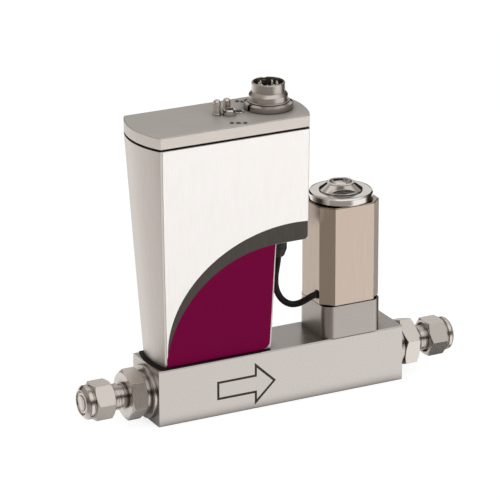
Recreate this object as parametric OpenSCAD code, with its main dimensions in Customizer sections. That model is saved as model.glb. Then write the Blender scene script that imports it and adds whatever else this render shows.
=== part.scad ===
// Thermal mass flow controller with its own control valve.
// Origin: centre of the base block's underside. +X is the flow direction,
// -Y is the labelled front, +Z is up. All lengths are millimetres.

/* [Base block] */
// Length of the block along the flow
block_l = 133; // [110:1:160]
// Depth of the block, front to back
block_w = 28.5; // [26:0.5:34]
// Height of the block
block_h = 28.5; // [27:0.5:34]
// Height of the gas passage above the underside
port_z = 14; // [13:0.5:16]
// Bevel on the four long edges
block_bevel = 0.5; // [0.2:0.1:1.2]
// Distance between the two threaded holes underneath
foot_pitch = 64; // [40:1:70]

/* [Housing] */
// Half depth of the housing where it meets the gasket
hous_half_lo = 11.9; // [10:0.1:13]
// Half depth of the housing just under the lid
hous_half_hi = 19.6; // [14:0.1:24]
// Top of the housing wall
hous_top = 140; // [120:1:150]
// Height of the underside of the overhang
over_z = 83.3; // [75:0.1:90]
// Thickness of the cast wall
wall = 1.8; // [1.2:0.1:2.6]
// Radius of the rounded ends
end_r = 41; // [30:1:60]
// Thickness of the black gasket under the housing
foot_gasket_t = 0.5; // [0.3:0.1:2]

/* [Lid] */
// Thickness of the lid from gasket to top
lid_t = 5.6; // [4:0.1:9]
// Thickness of the black seal under the lid
lid_gasket_t = 1.2; // [0.5:0.1:2]
// Half depth of the lid
lid_half = 20; // [15:0.5:25]

/* [Round connector] */
// Distance of the connector from the centre plane of the block
conn_x = -0.3; // [-6:0.1:4]
// Outer diameter of the threaded shell
conn_d = 16; // [12:0.1:20]
// Outer diameter of its ring nut
conn_nut_d = 23.8; // [22:0.1:25]

/* [Control valve] */
// Position of the valve axis along the block
valve_x = 39.2; // [30:0.1:46]
// Width of the coil cover along the flow
cover_w = 32.7; // [28:0.1:36]
// Depth of the coil cover
cover_d = 29; // [26:0.1:34]
// Bevel on the upright corners of the coil cover
cover_bevel = 5.7; // [3:0.1:8]
// Top of the coil cover
cover_top = 95.3; // [80:0.1:110]
// Diameter of the polished disc on top
disc_d = 31.4; // [24:0.1:34]
// Lift of the plunger from shut to fully open
plunger_stroke = 0.4; // [0.2:0.05:0.8]

/* [Pipe fittings] */
// Outer diameter of the pipe the fittings take
pipe_d = 9.53; // [6:0.01:12]
// Width across the flats of the fixed hexagon
adapter_af = 22; // [19:0.1:27]
// Width across the flats of the union nut
nut_af = 17.2; // [16:0.1:22]

/* [Hidden] */
block_x = block_l / 2;
g0 = block_h;
hz0 = block_h + foot_gasket_t;
lean = atan2(hous_half_hi - hous_half_lo, hous_top - hz0);
lid_z0 = hous_top + lid_gasket_t;
lid_z1 = lid_z0 + lid_t;
// middle line of the left end: foot and top
lx_lo = -63.85;
lx_hi = -72;
// middle line of the right end of the overhang
rx_lo = 16;
rx_hi = 16.5;
// middle line of the right end of the lower part
mx_lo = -3.5;
mx_hi = -1.1;
lean_l = atan2(lx_hi - lx_lo, hous_top - hz0);
lean_r = atan2(rx_hi - rx_lo, hous_top - over_z);
lean_m = atan2(mx_hi - mx_lo, over_z - hz0);
base_w = 31.6;
base_top = 44.9;
cover_z0 = 45.3;
disc_top = cover_top + 4.2;
seat_z = 31.2;
plunger_z0 = seat_z + 0.02;
plunger_z1 = 74;
pole_z = plunger_z1 + plunger_stroke + 0.1;
rod_x = -22;
rod_y = -2;
cable_r = 1.2;
gland_x = 5;
tap_a = -53;
tap_b = -32;
pipe_r = pipe_d / 2 + 0.05;
// bore of the ferrules round the pipe
ferrule_r = pipe_r + 0.05;
// where the two earth posts and the lens stand on the lid
posts = [[-27.3, 0.6], [-19.7, 5.4]];
lens_p = [-16.1, -0.3];
// small lamps and pin holes in the lid: x, y, radius
marks = [[-9.2, 15.3, 0.95], [-7.4, 13.4, 0.95], [-26.9, -14.2, 0.95], [-21.3, -17, 0.95]];
port_r = 8.3;
button_p = [-24.1, -15.5];
row_turn = -26;
screw_dx = 11.6;
screw_dy = 10.2;
// stations of the valve cable, from the board plug to the coil
route = [
  [5, 2, 99], [5, 0, 99], [5, -2.2, 98], [5, -2.6, 95], [5, -1.2, 91.5], [5, 0, 88],
  [5, 0, 80], [5, 0, 72],
  [4.6, 0, 68], [3.9, 0, 64], [3.4, 0, 60], [3.5, 0, 56], [4.4, -0.1, 52.4],
  [6.2, -0.3, 49], [8.8, -0.7, 46.4], [11.6, -1.8, 45.3], [14.4, -3.2, 45.7],
  [17.2, -4.9, 47.4], [19.8, -6.1, 49.2], [22.6, -6.5, 50], [26.2, -6.5, 50]
];

// ---------- helpers ----------
module xcyl(r, x0, x1, y = 0, z = port_z, fn = 48) {
  translate([x0, y, z])
    rotate([0, 90, 0])
      cylinder(r = r, h = x1 - x0, $fn = fn);
}

module zcyl(r, z0, z1, x = 0, y = 0, fn = 48) {
  translate([x, y, z0])
    cylinder(r = r, h = z1 - z0, $fn = fn);
}

module ycyl(r, y0, y1, x = 0, z = 0, fn = 32) {
  translate([x, y1, z])
    rotate([90, 0, 0])
      cylinder(r = r, h = y1 - y0, $fn = fn);
}

// solid turned about the gas passage; points are [radius, x]
module turned_x(p, fn = 60) {
  translate([0, 0, port_z])
    rotate([0, 90, 0])
      rotate_extrude($fn = fn)
        polygon(p);
}

// solid turned about an upright axis; points are [radius, z]
module turned_z(p, x = 0, y = 0, fn = 60) {
  translate([x, y, 0])
    rotate_extrude($fn = fn)
      polygon(p);
}

// hexagon about the gas passage; a is the angle of one corner above the front
module hex_x(af, x0, x1, a) {
  translate([x0, 0, port_z])
    rotate([0, 90, 0])
      rotate([0, 0, -30 - a])
        cylinder(r = af / sqrt(3), h = x1 - x0, $fn = 6);
}

module hex_z(af, z0, z1, turn = 0) {
  translate([0, 0, z0])
    rotate([0, 0, turn])
      cylinder(r = af / sqrt(3), h = z1 - z0, $fn = 6);
}

function cut_corner(w, d, c) = [
  [-w / 2 + c, -d / 2], [w / 2 - c, -d / 2], [w / 2, -d / 2 + c],
  [w / 2, d / 2 - c], [w / 2 - c, d / 2], [-w / 2 + c, d / 2],
  [-w / 2, d / 2 - c], [-w / 2, -d / 2 + c]
];

module cut_prism(w, d, c, z0, z1) {
  translate([0, 0, z0])
    linear_extrude(height = z1 - z0)
      polygon(cut_corner(w, d, c));
}

// prism with full rounded upright corners
module round_prism(w, d, r, z0, z1) {
  translate([-w / 2 + r, -d / 2, z0])
    cube([w - 2 * r, d, z1 - z0]);
  translate([-w / 2, -d / 2 + r, z0])
    cube([w, d - 2 * r, z1 - z0]);
  for (sx = [-1, 1])
    for (sy = [-1, 1])
      zcyl(r, z0, z1, sx * (w / 2 - r), sy * (d / 2 - r));
}

// everything on the +X side of a leaning barrel end
module barrel_end(x, z, t, inset) {
  translate([x, 0, z])
    rotate([0, t, 0]) {
      translate([end_r, 0, -40])
        cylinder(r = end_r - inset, h = 220, $fn = 120);
      translate([end_r, inset - end_r, -40])
        cube([120, 2 * (end_r - inset), 220]);
    }
}

module barrel_end_right(x, z, t, inset) {
  mirror([1, 0, 0])
    barrel_end(-x, z, -t, inset);
}

// wedge between the leaning front and back faces
module faces(inset, z0, z1) {
  h0 = hous_half_lo - inset + (z0 - hz0) * tan(lean);
  h1 = hous_half_lo - inset + (z1 - hz0) * tan(lean);
  translate([-90, 0, 0])
    rotate([90, 0, 90])
      linear_extrude(height = 120)
        polygon([[-h0, z0], [h0, z0], [h1, z1], [-h1, z1]]);
}

module housing_form(inset, z_lo, z_mid, z_hi) {
  intersection() {
    faces(inset, z_lo, z_mid);
    barrel_end(lx_lo, hz0, lean_l, inset);
    barrel_end_right(mx_lo, hz0, lean_m, inset);
  }
  intersection() {
    faces(inset, z_mid, z_hi);
    barrel_end(lx_lo, hz0, lean_l, inset);
    barrel_end_right(rx_lo, over_z, lean_r, inset);
  }
}

// upright barrel used by the lid and its seal
module lid_form(inset, z0, z1) {
  intersection() {
    translate([-90, inset - lid_half, z0])
      cube([130, 2 * (lid_half - inset), z1 - z0]);
    barrel_end(lx_hi, z0, 0, inset);
    barrel_end_right(rx_hi + 0.1, z0, 0, inset);
  }
}

// coordinates on the leaning front face: x, and distance up the slope
module on_front(lift = 0) {
  translate([0, -hous_half_lo, hz0])
    rotate([90 + lean, 0, 0])
      translate([0, 0, lift])
        children();
}

function cut_arc(cx, cy, r, a0, a1, n) =
  [for (i = [0:n]) [cx + r * cos(a0 + (a1 - a0) * i / n), cy + r * sin(a0 + (a1 - a0) * i / n)]];

// ---------- base block and everything in its passage ----------
module base_block() {
  color([0.78, 0.76, 0.74])
    difference() {
      translate([-block_x, 0, block_h / 2])
        rotate([90, 0, 90])
          linear_extrude(height = block_l)
            polygon(cut_corner(block_w, block_h, block_bevel));
      xcyl(port_r, -block_x - 1, -block_x + 12);
      xcyl(port_r, block_x - 12, block_x + 1);
      xcyl(7.5, -block_x + 11, -29.5);
      xcyl(3, -30, 33);
      xcyl(3, 37.3, block_x - 11);
      // chamfered mouths of the two ports
      for (s = [-1, 1])
        scale([s, 1, 1])
          turned_x([
            [0, block_x - 0.8], [port_r, block_x - 0.8], [port_r + 0.9, block_x + 0.1], [0, block_x + 0.1]
          ]);
      // sensor taps
      zcyl(0.8, port_z, block_h + 1, tap_a, 0, 24);
      zcyl(0.8, port_z, block_h + 1, tap_b, 0, 24);
      // riser to the valve chamber, seat pocket and drain
      zcyl(1.75, port_z, block_h + 1, 31.2, 0, 24);
      zcyl(6, 24.5, block_h + 1, valve_x, 0);
      zcyl(2, port_z, 25, valve_x, 0, 24);
      // screw holes in the top
      for (sx = [-1, 1])
        for (sy = [-1, 1])
          zcyl(1.5, 19.5, block_h + 1, valve_x + sx * screw_dx, sy * screw_dy, 24);
      zcyl(1.25, 23.4, block_h + 1, -58.3, 3, 24);
      zcyl(1.25, 23.4, block_h + 1, -27.1, -3, 24);
      zcyl(2, 20.8, block_h + 1, rod_x, rod_y, 24);
      zcyl(1.25, 22, block_h + 1, -11, 4, 24);
      zcyl(1.25, 22, block_h + 1, -17.5, 4, 24);
      // mounting holes in the underside
      for (s = [-1, 1])
        zcyl(2, -1, 7.5, 15 + s * foot_pitch / 2, 0, 24);
      // engraved outline of the flow arrow
      translate([0, -block_w / 2 + 0.3, 0])
        rotate([90, 0, 0])
          linear_extrude(height = 1)
            arrow_outline();
    }
}

module arrow_shape(g) {
  polygon([
    [-35.3 + g, 8.5 + g], [-15 + g, 8.5 + g], [-15 + g, 2.7 + 2.4 * g], [-4.1 - 1.45 * g, 13],
    [-15 + g, 23.3 - 2.4 * g], [-15 + g, 17.5 - g], [-35.3 + g, 17.5 - g]
  ]);
}

module arrow_outline() {
  difference() {
    arrow_shape(0);
    arrow_shape(0.85);
  }
}

module flow_arrow() {
  color([0.06, 0.06, 0.06])
    translate([0, -block_w / 2 + 0.3, 0])
      rotate([90, 0, 0])
        linear_extrude(height = 0.26)
          arrow_outline();
}

module flow_splitter() {
  color([0.72, 0.72, 0.73])
    difference() {
      xcyl(7.46, -51, -34);
      for (a = [0:45:315])
        xcyl(0.9, -52, -33, 5 * cos(a), port_z + 5 * sin(a), 20);
      xcyl(1.2, -52, -33, 0, port_z, 20);
      // waist that feeds the side passages
      difference() {
        xcyl(9, -47, -38);
        xcyl(6.6, -48, -37);
      }
    }
}

module side(s) {
  if (s < 0) {
    children();
  } else {
    mirror([1, 0, 0])
      children();
  }
}

// fixed half of a pipe fitting, drawn on the inlet side
module adapter_form(a) {
  color([0.70, 0.68, 0.66])
    difference() {
      union() {
        // threaded spigot in the block, collar, ringed neck and nut thread
        turned_x([
          [0, -block_x + 11.2], [port_r - 1, -block_x + 11.2], [port_r - 0.05, -block_x + 10.3],
          [port_r - 0.05, -68.35], [10.6, -68.35], [10.6, -70.4], [10, -70.8],
          [10, -77.5], [5.85, -77.5], [5.85, -79.2], [6.4, -79.4], [6.4, -80], [5.85, -80.2],
          [5.85, -81.9], [6.3, -82.2], [6.3, -86.6], [7.2, -87.5], [7.2, -92.6], [6.8, -93], [0, -93]
        ]);
        // hexagon with turned-off corners
        intersection() {
          hex_x(adapter_af, -78.7, -70.6, a);
          turned_x([
            [0, -78.7], [10.9, -78.7], [12.9, -77.6], [12.9, -71.7], [10.9, -70.6], [0, -70.6]
          ]);
        }
      }
      xcyl(3.9, -94, -block_x + 12, 0, port_z, 40);
      xcyl(pipe_r, -94, -86.6, 0, port_z, 40);
      // cone the front ferrule is driven into
      turned_x([[0, -90.9], [pipe_r - 0.01, -90.9], [6.3, -93.1], [0, -93.1]]);
    }
}

module seal_ring_form() {
  color([0.80, 0.79, 0.78])
    turned_x([
      [port_r + 0.05, -block_x], [13.2, -block_x], [13.2, -68], [12.9, -68.3],
      [port_r + 0.05, -68.3]
    ]);
}

module nut_form(a) {
  color([0.72, 0.70, 0.67])
    difference() {
      union() {
        intersection() {
          hex_x(nut_af, -96, -86.3, a);
          turned_x([
            [0, -96], [8.5, -96], [10, -95.1], [10, -87.2], [8.5, -86.3], [0, -86.3]
          ]);
        }
        // round collar behind a shallow undercut
        turned_x([
          [0, -95], [8.2, -95], [8.2, -96], [7.75, -96.4], [7.75, -96.8], [8.35, -97.3],
          [8.35, -98.8], [8.1, -99.3], [6.6, -100.6], [6.3, -100.8], [0, -100.8]
        ]);
      }
      // thread, ferrule cone and pipe hole
      turned_x([
        [0, -86], [7.7, -86], [7.25, -87], [7.25, -94.4], [6.7, -95.2], [5, -97.4],
        [5, -99.4], [5.9, -100.6], [5.9, -101], [0, -101]
      ]);
    }
}

module front_ferrule_form() {
  color([0.82, 0.80, 0.76])
    turned_x([
      [ferrule_r, -91.6], [ferrule_r + 0.2, -91.6], [6.1, -93.2], [6.9, -94.3], [ferrule_r, -94.3]
    ]);
}

module back_ferrule_form() {
  color([0.78, 0.74, 0.66])
    turned_x([[ferrule_r, -94.35], [6.6, -94.35], [6.5, -94.9], [5.6, -96.3], [ferrule_r, -96.3]]);
}

module inlet_adapter() {
  side(-1)
    adapter_form(43.5);
}

module outlet_adapter() {
  side(1)
    adapter_form(18.6);
}

module port_seals() {
  for (s = [-1, 1])
    side(s)
      seal_ring_form();
}

module front_ferrules() {
  for (s = [-1, 1])
    side(s)
      front_ferrule_form();
}

module back_ferrules() {
  for (s = [-1, 1])
    side(s)
      back_ferrule_form();
}

module inlet_nut() {
  side(-1)
    nut_form(2.2);
}

module outlet_nut() {
  side(1)
    nut_form(-1.3);
}

module inlet_filter() {
  color([0.62, 0.60, 0.56])
    difference() {
      turned_x([[0, -54], [7.4, -54], [7.4, -52.4], [6.6, -52.4], [6.6, -53.2], [0, -53.2]]);
      for (a = [0:60:300])
        xcyl(0.9, -55, -52, 4 * cos(a), port_z + 4 * sin(a), 16);
      xcyl(0.9, -55, -52, 0, port_z, 16);
    }
}

// ---------- flow sensor ----------
module sensor_base() {
  color([0.74, 0.73, 0.72])
    difference() {
      union() {
        translate([-60.6, -8, block_h])
          cube([35.7, 16, 8]);
        // bosses the capillary is brazed into
        zcyl(1.6, block_h + 8, block_h + 9.5, tap_a, 0, 24);
        zcyl(1.6, block_h + 8, block_h + 9.5, tap_b, 0, 24);
      }
      zcyl(0.82, block_h - 1, block_h + 11, tap_a, 0, 24);
      zcyl(0.82, block_h - 1, block_h + 11, tap_b, 0, 24);
      // seal grooves
      zcyl(2.3, block_h - 1, block_h + 0.9, tap_a, 0, 32);
      zcyl(2.3, block_h - 1, block_h + 0.9, tap_b, 0, 32);
      zcyl(1.4, block_h - 1, block_h + 9, -58.3, 3, 24);
      zcyl(1.4, block_h - 1, block_h + 9, -27.1, -3, 24);
    }
}

module sensor_seals() {
  color([0.1, 0.1, 0.1])
    for (x = [tap_a, tap_b])
      translate([x, 0, block_h + 0.45])
        rotate_extrude($fn = 32)
          translate([1.7, 0])
            circle(r = 0.43, $fn = 16);
}

module capillary_tube() {
  r = 0.75;
  b = 3;
  top = 52;
  color([0.80, 0.78, 0.72]) {
    zcyl(r, block_h + 2, top - b, tap_a, 0, 20);
    zcyl(r, block_h + 2, top - b, tap_b, 0, 20);
    translate([tap_a + b, 0, top])
      rotate([0, 90, 0])
        cylinder(r = r, h = tap_b - tap_a - 2 * b, $fn = 20);
    translate([tap_a + b, 0, top - b])
      rotate([90, 0, 0])
        rotate_extrude(angle = 90, $fn = 48)
          translate([-b, 0])
            circle(r = r, $fn = 20);
    translate([tap_b - b, 0, top - b])
      rotate([90, 0, 0])
        rotate_extrude(angle = 90, $fn = 48)
          translate([b, 0])
            circle(r = r, $fn = 20);
  }
}

module sensor_windings() {
  color([0.72, 0.36, 0.16])
    for (x = [-48.4, -41.6])
      difference() {
        xcyl(1.9, x, x + 5, 0, 52, 32);
        xcyl(0.77, x - 1, x + 6, 0, 52, 24);
      }
}

module sensor_cover() {
  color([0.70, 0.69, 0.67])
    difference() {
      round_prism_at(-42.5, 0, 25.8, 14.6, 3, block_h + 8, 58);
      round_prism_at(-42.5, 0, 24.4, 13.2, 2.4, block_h + 7, 57.3);
      // slot for the sensor leads
      translate([-45, 5, 50])
        cube([5, 5, 9]);
    }
}

module round_prism_at(x, y, w, d, r, z0, z1) {
  translate([x, y, 0])
    round_prism(w, d, r, z0, z1);
}

module sensor_screws() {
  color([0.35, 0.35, 0.36])
    for (p = [[-58.3, 3], [-27.1, -3]])
      difference() {
        union() {
          zcyl(1.2, 24, block_h + 8, p[0], p[1], 20);
          zcyl(2, block_h + 8.02, block_h + 10, p[0], p[1], 24);
        }
        translate([p[0], p[1], block_h + 9])
          cylinder(r = 1.15, h = 2, $fn = 6);
      }
}

// ---------- housing ----------
module housing() {
  color([0.72, 0.69, 0.66])
    difference() {
      housing_form(0, hz0, over_z, hous_top);
      housing_form(wall, hz0 - 1, over_z + wall, hous_top + 1);
      zcyl(3.55, over_z - 2, over_z + 4, gland_x, 0, 32);
    }
}

// flat gasket that reaches past the housing on the front, back and left
module housing_gasket() {
  color([0.05, 0.05, 0.05])
    difference() {
      gasket_form(-2, 0);
      gasket_form(wall + 0.6, 0.9);
    }
}

module gasket_form(inset, end_inset) {
  intersection() {
    translate([-90, inset - hous_half_lo, g0])
      cube([120, 2 * (hous_half_lo - inset), foot_gasket_t]);
    barrel_end(lx_lo, hz0, 0, inset);
    // tighter rounding at the right end
    union() {
      zcyl(16.1 - end_inset, g0, g0 + 2, mx_lo - 16.1, 0, 90);
      translate([-90, -30, g0])
        cube([mx_lo - 16.1 + 90, 60, 2]);
    }
  }
}

module lid_gasket() {
  color([0.04, 0.04, 0.04])
    difference() {
      lid_form(0.9, hous_top, lid_z0);
      lid_form(3.2, hous_top - 1, lid_z0 + 1);
    }
}

module lid() {
  color([0.66, 0.64, 0.60])
    difference() {
      union() {
        lid_form(0, lid_z0, lid_z1 - 0.4);
        lid_form(0.35, lid_z1 - 0.5, lid_z1);
      }
      lid_form(2.2, lid_z0 - 1, lid_z1 - 2.2);
      zcyl(8.25, lid_z0, lid_z1 + 1, conn_x, 0);
      zcyl(2.1, lid_z0, lid_z1 + 1, rod_x, rod_y, 32);
      zcyl(1.7, lid_z0, lid_z1 + 1, lens_p[0], lens_p[1], 32);
      for (p = marks)
        zcyl(p[2], lid_z0, lid_z1 + 1, p[0], p[1], 20);
      slot_form(0.9, lid_z0, lid_z1 + 1);
      for (p = posts)
        zcyl(1, lid_z0, lid_z1 + 1, p[0], p[1], 24);
    }
}

// round-ended slot the reset button moves in, set along the row of lamps
module slot_form(r, z0, z1) {
  translate([button_p[0], button_p[1], z0])
    rotate([0, 0, row_turn]) {
      for (s = [-1, 1])
        translate([s * 0.5, 0, 0])
          cylinder(r = r, h = z1 - z0, $fn = 20);
      translate([-0.5, -r, 0])
        cube([1, 2 * r, z1 - z0]);
    }
}

function front_edge(s) =
  let (z = hz0 + s * cos(lean), h = hous_half_lo + s * sin(lean))
    lx_lo + (z - hz0) * tan(lean_l) + end_r - sqrt(end_r * end_r - h * h);

module front_label() {
  top = (hous_top - 0.2 - hz0) / cos(lean);
  ov = (over_z - hz0) / cos(lean);
  edge = concat(
    [[front_edge(0.15) + 1.3, 0.15]],
    [[-9.6, 0.15]],
    cut_arc(-9.6, 3.75, 3.6, -90, 0, 6),
    [[-5.6, 20]],
    [[-5.1, 44]],
    [[-4.7, ov + 0.2]],
    cut_arc(10.85, ov + 1.9, 1.7, -90, 0, 5),
    [[12.05, ov + 20]],
    [[11.3, top - 6]],
    [[11.2, top]],
    [for (i = [6:-1:1]) [front_edge(top * i / 6) + 1.3, top * i / 6]]
  );
  color([0.93, 0.92, 0.90])
    on_front(0.02)
      linear_extrude(height = 0.16)
        polygon(edge);
}

// ---------- electronics ----------
module main_board() {
  color([0.10, 0.32, 0.20])
    difference() {
      translate([0, 6.6, 0])
        rotate([90, 0, 0])
          linear_extrude(height = 1.6)
            polygon([
              [-58, 62], [-7, 62], [-7, 87.4], [11, 87.4], [11, 132], [-8, 137],
              [-64, 137], [-64, 96]
            ]);
      for (x = [-52, -12])
        ycyl(1.3, 4, 8, x, 67, 20);
    }
}

module board_bracket() {
  color([0.66, 0.65, 0.63])
    difference() {
      union() {
        translate([-20.5, 8.1, block_h])
          cube([12.5, 1, 46]);
        translate([-20.5, 0.4, block_h])
          cube([12.5, 8.2, 1]);
        translate([-56, 8.1, 60])
          cube([48, 1, 14.5]);
        // pressed-in spacers
        for (x = [-52, -12])
          ycyl(2.6, 6.62, 8.2, x, 67, 24);
      }
      for (x = [-52, -12])
        ycyl(1.3, 6, 10, x, 67, 20);
      zcyl(1.4, block_h - 1, block_h + 2, -11, 4, 20);
      zcyl(1.4, block_h - 1, block_h + 2, -17.5, 4, 20);
    }
}

module board_screws() {
  color([0.36, 0.36, 0.37]) {
    for (x = [-11, -17.5]) {
      zcyl(1.2, 22.6, block_h + 1.1, x, 4, 20);
      difference() {
        zcyl(2.2, block_h + 1, block_h + 2.8, x, 4, 24);
        zcyl(0.9, block_h + 1.8, block_h + 3.4, x, 4, 24);
      }
    }
    for (x = [-52, -12])
      difference() {
        union() {
          ycyl(1.25, 3.4, 9.9, x, 67, 20);
          ycyl(2.3, 3.4, 5, x, 67, 24);
        }
        translate([x - 0.3, 2.9, 65.4])
          cube([0.6, 1.2, 3.2]);
      }
  }
}

module board_parts() {
  color([0.72, 0.72, 0.70])
    for (p = [[-40, 78], [-33, 82], [-34, 94], [4, 108]])
      difference() {
        ycyl(2.5, -2, 5, p[0], p[1], 32);
        ycyl(1.9, -3, -1.7, p[0], p[1], 32);
      }
  color([0.07, 0.07, 0.08])
    for (p = [
      [-50, 108, 14, 14], [-26, 112, 10, 7], [-26, 96, 8, 8], [-46, 88, 6, 9],
      [-10, 92, 7, 5], [-12, 78, 5, 8], [-28, 72, 9, 5]
    ])
      translate([p[0], 3.4, p[1]])
        cube([p[2], 1.6, p[3]]);
}

module board_headers() {
  color([0.85, 0.83, 0.76])
    for (p = [[0, 96, 10, 6], [-48, 64, 9, 5]])
      difference() {
        translate([p[0], -0.6, p[1]])
          cube([p[2], 5.6, p[3]]);
        translate([p[0] + 0.8, -1.6, p[1] + 0.8])
          cube([p[2] - 1.6, 4.6, p[3] - 1.6]);
      }
}

module panel_board() {
  color([0.10, 0.32, 0.20])
    difference() {
      translate([-30, -17, 138.2])
        cube([26, 34, 1.4]);
      zcyl(2.6, 137, 141, rod_x, rod_y, 24);
      zcyl(9.6, 137, 141, conn_x, 0, 48);
      for (p = posts)
        zcyl(1.4, 137, 141, p[0], p[1], 20);
    }
}

module panel_switch() {
  color([0.12, 0.12, 0.13])
    translate([button_p[0], button_p[1], 139.6])
      difference() {
        translate([-1.6, -1.29, 0])
          cube([3.2, 3, 3.6]);
        translate([-1.3, -1.04, 1])
          cube([2.6, 2.1, 3]);
      }
}

module switch_button() {
  color([0.10, 0.10, 0.10])
    translate([button_p[0], button_p[1], 141.2])
      rotate([0, 0, row_turn]) {
        for (s = [-1, 1])
          translate([s * 0.3, 0, 0])
            cylinder(r = 0.75, h = lid_z1 + 0.25 - 141.2, $fn = 20);
        translate([-0.3, -0.75, 0])
          cube([0.6, 1.5, lid_z1 + 0.25 - 141.2]);
      }
}

module panel_lamps() {
  color([0.13, 0.15, 0.13])
    for (p = marks) {
      zcyl(p[2] - 0.08, 141.4, lid_z1 + 0.4, p[0], p[1], 20);
      // foot on the board, set in from the gasket
      translate([p[0], 0.92 * p[1], 139.6])
        rotate([0, 0, row_turn])
          translate([-0.8, -0.8, 0])
            cube([1.6, 1.6, 1.9]);
    }
}

module lens() {
  color([0.08, 0.08, 0.09])
    turned_z([
      [0, 142], [1.62, 142], [1.62, lid_z1 + 0.4], [1.3, lid_z1 + 0.8], [0.7, lid_z1 + 1.05],
      [0, lid_z1 + 1.1]
    ], lens_p[0], lens_p[1], 32);
}

module lens_bezel() {
  color([0.86, 0.85, 0.83])
    turned_z([
      [1.7, lid_z1], [2.5, lid_z1], [2.45, lid_z1 + 0.3], [2.1, lid_z1 + 0.5], [1.7, lid_z1 + 0.4]
    ], lens_p[0], lens_p[1], 40);
}

module earth_posts() {
  color([0.74, 0.73, 0.71])
    for (i = [0:1]) {
      p = posts[i];
      h = i == 0 ? 7.2 : 5.6;
      difference() {
        turned_z([
          [0, 142.6], [0.95, 142.6], [0.95, lid_z1], [2.1, lid_z1], [2.1, lid_z1 + 0.7],
          [1.75, lid_z1 + 1], [1.75, lid_z1 + h - 0.8], [1.35, lid_z1 + h], [0, lid_z1 + h + 0.2]
        ], p[0], p[1], 32);
        // cross hole for the bonding wire
        translate([p[0], p[1], lid_z1 + 3.2])
          rotate([90, 0, 30])
            cylinder(r = 0.7, h = 6, center = true, $fn = 16);
      }
    }
}

module tie_rod() {
  color([0.68, 0.67, 0.65])
    turned_z([
      [0, 21], [1.6, 21], [1.95, 21.5], [1.95, lid_z1 + 1.9], [1.5, lid_z1 + 2.2], [0, lid_z1 + 2.2]
    ], rod_x, rod_y, 32);
}

module earth_nut() {
  color([0.80, 0.79, 0.77])
    difference() {
      turned_z([
        [2, lid_z1], [3.2, lid_z1], [3.2, lid_z1 + 2.3], [2.9, lid_z1 + 2.8], [2, lid_z1 + 2.8]
      ], rod_x, rod_y, 40);
      for (a = [20:90:290])
        translate([rod_x, rod_y, lid_z1 + 1.5])
          rotate([0, 0, a])
            translate([1.5, -0.6, 0])
              cube([3, 1.2, 3]);
    }
}

// ---------- round connector ----------
module connector_shell() {
  z0 = lid_z1;
  r = conn_d / 2;
  color([0.78, 0.77, 0.75])
    difference() {
      turned_z([
        [0, 138.6], [7, 138.6], [7, 140.4], [8.1, 140.8], [8.1, z0 + 3.6], [9.8, z0 + 3.6],
        [10.1, z0 + 3.75], [10.1, z0 + 4], [9.8, z0 + 4.15], [9.4, z0 + 4.2], [9.4, z0 + 6.7],
        [9.1, z0 + 7.2], [r + 0.25, z0 + 8.2], [r, z0 + 8.4], [r, z0 + 12.6], [r - 0.3, z0 + 12.9],
        [0, z0 + 12.9]
      ], conn_x, 0, 72);
      zcyl(r - 0.65, z0 + 5.5, z0 + 14, conn_x, 0, 60);
      zcyl(6.9, z0 + 0.5, z0 + 6, conn_x, 0, 60);
      zcyl(6.4, 137, z0 + 1, conn_x, 0, 60);
      // keyway at the rim
      translate([conn_x, 0, z0 + 11.5])
        rotate([0, 0, 78])
          translate([6, -0.9, 0])
            cube([4, 1.8, 3]);
    }
}

// eight pins on a circle, one place left open at the keyway
pin_spots = [for (k = [0:7]) let (a = 118.6 + 40 * k) [4.5 * cos(a), 4.5 * sin(a)]];

module connector_insert() {
  z0 = lid_z1;
  color([0.05, 0.05, 0.05])
    difference() {
      union() {
        zcyl(6.85, z0 + 0.6, z0 + 6, conn_x, 0, 48);
        zcyl(6.35, z0 - 6, z0 + 0.7, conn_x, 0, 48);
      }
      for (p = pin_spots)
        zcyl(0.53, z0 - 7, z0 + 7, conn_x + p[0], p[1], 16);
    }
}

module connector_pins() {
  z0 = lid_z1;
  color([0.88, 0.80, 0.58])
    for (p = pin_spots)
      translate([conn_x + p[0], p[1], 0]) {
        zcyl(0.5, z0 - 8, z0 + 11.8, 0, 0, 16);
        turned_z([[0, z0 + 11.7], [0.5, z0 + 11.7], [0.28, z0 + 12.4], [0, z0 + 12.5]], 0, 0, 16);
      }
}

module connector_nut() {
  color([0.66, 0.65, 0.63])
    translate([conn_x, 0, 0])
      difference() {
        turned_z([
          [0, lid_z1 + 0.02], [conn_nut_d / 2 - 0.3, lid_z1 + 0.02], [conn_nut_d / 2, lid_z1 + 0.3],
          [conn_nut_d / 2, lid_z1 + 2.6], [conn_nut_d / 2 - 0.2, lid_z1 + 2.8],
          [conn_nut_d / 2 - 1.6, lid_z1 + 3.45], [0, lid_z1 + 3.45]
        ], 0, 0, 90);
        zcyl(8.12, lid_z1 - 1, lid_z1 + 5);
        // two slots for a pin spanner
        for (a = [11.6, 191.6])
          rotate([0, 0, a])
            translate([conn_nut_d / 2 - 1.5, -0.9, lid_z1 - 1])
              cube([3, 1.8, 6]);
      }
}

// ---------- cable ----------
function sub3(a, b) = [a[0] - b[0], a[1] - b[1], a[2] - b[2]];
function spline(p, i, t) =
  let (
    a = p[max(i - 1, 0)],
    b = p[i],
    c = p[i + 1],
    d = p[min(i + 2, len(p) - 1)]
  )
    0.5 * ((2 * b) + (c - a) * t + (2 * a - 5 * b + 4 * c - d) * t * t + (3 * b - a - 3 * c + d) * t * t * t);

cable_pts = concat(
  [for (i = [0:len(route) - 2]) for (k = [0:1]) spline(route, i, k / 2)],
  [route[len(route) - 1]]
);
cable_sides = 8;

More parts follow.
